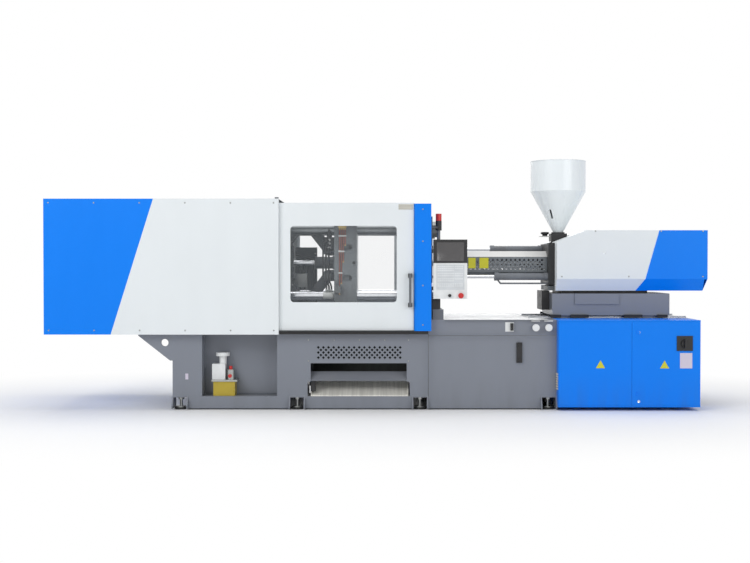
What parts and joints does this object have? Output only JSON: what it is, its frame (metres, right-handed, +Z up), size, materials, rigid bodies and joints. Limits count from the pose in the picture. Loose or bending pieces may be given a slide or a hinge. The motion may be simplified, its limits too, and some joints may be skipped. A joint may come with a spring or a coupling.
{
  "type": "injection moulding machine",
  "caption": "Horizontal injection moulding machine: toggle clamp under sliding guards, plasticising unit with hopper on a carriage, control panel and cabinets on a long bed.",
  "frame": {"origin": "on the floor under the middle of the machine's bounding box", "axes": "+X along the machine from the clamp end to the injection end, -Y towards the operator, +Z up"},
  "size_m": [5.48, 1.392, 2.0843],
  "materials": {
    "bed_paint": "satin grey machine paint",
    "cover_paint": "satin white machine paint",
    "blue_paint": "gloss blue machine paint",
    "window_pane": "clear guard pane",
    "platen_iron": "painted casting, machined faces",
    "machined_steel": "ground steel",
    "hard_chrome": "polished hard chrome",
    "guard_steel": "grey guard sheet",
    "hopper_paint": "white hopper sheet",
    "panel_plastic": "dark control housing",
    "red_plastic": "red push button and lamp",
    "black_plastic": "black moulding",
    "button_plastic": "pale push button",
    "foot_rubber": "levelling feet"
  },
  "bodies": {
    "frame": {"clamp_bed": "bed_paint", "product_chute": "bed_paint", "injection_bed": "bed_paint", "lifting_brackets": "bed_paint", "machine_feet": "foot_rubber", "tank_fittings": "black_plastic", "lubrication_unit": "black_plastic", "stationary_platen": "platen_iron", "tie_bars": "hard_chrome", "cover_frame": "bed_paint", "clamp_cover_front": "cover_paint", "clamp_cover_rear": "cover_paint", "clamp_cover_top": "cover_paint", "gate_columns": "blue_paint", "alarm_lamp": "red_plastic", "front_cabinet": "blue_paint", "rear_cabinet": "blue_paint", "power_sockets": "red_plastic", "switchgear": "machined_steel", "carriage_guides": "machined_steel", "pump_motor": "guard_steel"},
    "rear_platen": {"rear_platen": "platen_iron", "die_height_gears": "machined_steel", "clamp_cylinder": "guard_steel", "crosshead_guide_rods": "hard_chrome"},
    "upper_rear_link": {"upper_rear_link": "platen_iron"},
    "lower_rear_link": {"lower_rear_link": "platen_iron"},
    "upper_front_link": {"upper_front_link": "platen_iron"},
    "lower_front_link": {"lower_front_link": "platen_iron"},
    "upper_crosshead_link": {"upper_crosshead_link": "machined_steel"},
    "lower_crosshead_link": {"lower_crosshead_link": "machined_steel"},
    "crosshead": {"crosshead": "platen_iron"},
    "moving_platen": {"moving_platen": "platen_iron", "ejector_cylinder": "guard_steel"},
    "ejector": {"ejector_plate": "machined_steel"},
    "front_gate": {"front_gate": "cover_paint", "front_gate_window": "window_pane"},
    "rear_gate": {"rear_gate": "cover_paint", "rear_gate_window": "window_pane"},
    "carriage": {"carriage_base": "bed_paint", "injection_housing": "platen_iron", "barrel": "machined_steel", "barrel_guard": "guard_steel", "carriage_cylinders": "guard_steel", "injection_cylinders": "guard_steel", "injection_cover": "cover_paint", "hopper": "hopper_paint"},
    "hopper_lid": {"hopper_lid": "hopper_paint"},
    "hopper_gate": {"hopper_gate": "machined_steel"},
    "screw_drive": {"screw_drive": "platen_iron"},
    "screw": {"screw": "machined_steel"},
    "control_panel": {"control_panel": "panel_plastic"},
    "emergency_stop": {"emergency_stop": "red_plastic"},
    "key_switch": {"key_switch": "black_plastic"},
    "start_button": {"start_button": "button_plastic"},
    "rear_emergency_stop": {"rear_emergency_stop": "red_plastic"},
    "front_left_door": {"front_left_door": "blue_paint"},
    "front_right_door": {"front_right_door": "blue_paint"},
    "main_switch": {"main_switch": "black_plastic"},
    "rear_door": {"rear_door": "blue_paint"}
  },
  "joints": [
    {"name": "mould_height", "type": "slide", "parent": "frame", "child": "rear_platen", "axis": [1, 0, 0], "range_m": [-0.32, 0]},
    {"name": "toggle", "type": "hinge", "parent": "rear_platen", "child": "upper_rear_link", "pos_m": [-0.86559, 0, 1.316], "axis": [0, -1, 0], "range_deg": [-50, 16]},
    {"name": "upper_knee", "type": "hinge", "parent": "upper_rear_link", "child": "upper_front_link", "pos_m": [-0.65626, 0, 1.58392], "axis": [0, -1, 0], "range_deg": [-32, 100]},
    {"name": "upper_platen_pin", "type": "hinge", "parent": "upper_front_link", "child": "moving_platen", "pos_m": [-0.44694, 0, 1.316], "axis": [0, -1, 0], "range_deg": [-50, 16]},
    {"name": "upper_arm_pin", "type": "hinge", "parent": "upper_rear_link", "child": "upper_crosshead_link", "pos_m": [-0.81941, 0, 1.44286], "axis": [0, -1, 0], "range_deg": [-32, 100]},
    {"name": "upper_crosshead_pin", "type": "hinge", "parent": "upper_crosshead_link", "child": "crosshead", "pos_m": [-0.77324, 0, 1.316], "axis": [0, -1, 0], "range_deg": [-50, 16]},
    {"name": "lower_rear_pin", "type": "hinge", "parent": "rear_platen", "child": "lower_rear_link", "pos_m": [-0.86559, 0, 1.096], "axis": [0, -1, 0], "range_deg": [-16, 50]},
    {"name": "lower_knee", "type": "hinge", "parent": "lower_rear_link", "child": "lower_front_link", "pos_m": [-0.65626, 0, 0.82808], "axis": [0, -1, 0], "range_deg": [-100, 32]},
    {"name": "lower_arm_pin", "type": "hinge", "parent": "lower_rear_link", "child": "lower_crosshead_link", "pos_m": [-0.81941, 0, 0.96914], "axis": [0, -1, 0], "range_deg": [-100, 32]},
    {"name": "ejector_stroke", "type": "slide", "parent": "moving_platen", "child": "ejector", "axis": [1, 0, 0], "range_m": [0, 0.1]},
    {"name": "front_gate_slide", "type": "slide", "parent": "frame", "child": "front_gate", "axis": [1, 0, 0], "range_m": [-1, 0]},
    {"name": "rear_gate_slide", "type": "slide", "parent": "frame", "child": "rear_gate", "axis": [1, 0, 0], "range_m": [-1, 0]},
    {"name": "carriage_slide", "type": "slide", "parent": "frame", "child": "carriage", "axis": [1, 0, 0], "range_m": [-0.165, 0.1]},
    {"name": "injection_stroke", "type": "slide", "parent": "carriage", "child": "screw_drive", "axis": [1, 0, 0], "range_m": [-0.2, 0]},
    {"name": "screw_turn", "type": "hinge", "parent": "screw_drive", "child": "screw", "pos_m": [1, 0, 1.206], "axis": [1, 0, 0], "continuous": true},
    {"name": "hopper_lid_hinge", "type": "hinge", "parent": "carriage", "child": "hopper_lid", "pos_m": [1.541, 0.252, 2.07], "axis": [-1, 0, 0], "range_deg": [0, 110]},
    {"name": "hopper_gate_slide", "type": "slide", "parent": "carriage", "child": "hopper_gate", "axis": [1, 0, 0], "range_m": [-0.09, 0]},
    {"name": "panel_hinge", "type": "hinge", "parent": "frame", "child": "control_panel", "pos_m": [0.421, -0.632, 1.1], "axis": [0, 0, 1], "range_deg": [-90, 0]},
    {"name": "emergency_stop_push", "type": "slide", "parent": "control_panel", "child": "emergency_stop", "axis": [0, 1, 0], "range_m": [0, 0.005]},
    {"name": "key_turn", "type": "hinge", "parent": "control_panel", "child": "key_switch", "pos_m": [0.561, -0.64, 0.938], "axis": [0, 1, 0], "range_deg": [0, 90]},
    {"name": "start_push", "type": "slide", "parent": "control_panel", "child": "start_button", "axis": [0, 1, 0], "range_m": [0, 0.003], "stiffness_N_per_m": 400},
    {"name": "rear_stop_push", "type": "slide", "parent": "frame", "child": "rear_emergency_stop", "axis": [0, -1, 0], "range_m": [0, 0.005]},
    {"name": "left_door_hinge", "type": "hinge", "parent": "frame", "child": "front_left_door", "pos_m": [1.453, -0.64, 0.38], "axis": [0, 0, 1], "range_deg": [-110, 0]},
    {"name": "right_door_hinge", "type": "hinge", "parent": "frame", "child": "front_right_door", "pos_m": [2.592, -0.64, 0.38], "axis": [0, 0, 1], "range_deg": [0, 110]},
    {"name": "main_switch_turn", "type": "hinge", "parent": "front_right_door", "child": "main_switch", "pos_m": [2.47, -0.67, 0.55], "axis": [0, 1, 0], "range_deg": [0, 90]},
    {"name": "rear_door_hinge", "type": "hinge", "parent": "frame", "child": "rear_door", "pos_m": [1.708, 0.68, 0.3], "axis": [0, 0, 1], "range_deg": [0, 110]}
  ],
  "couplings": [
    {"joint": "upper_knee", "follows": "toggle", "ratio": -2},
    {"joint": "upper_platen_pin", "follows": "toggle", "ratio": 1},
    {"joint": "upper_arm_pin", "follows": "toggle", "ratio": -2},
    {"joint": "upper_crosshead_pin", "follows": "toggle", "ratio": 1},
    {"joint": "lower_rear_pin", "follows": "toggle", "ratio": -1},
    {"joint": "lower_knee", "follows": "toggle", "ratio": 2},
    {"joint": "lower_arm_pin", "follows": "toggle", "ratio": 2}
  ]
}
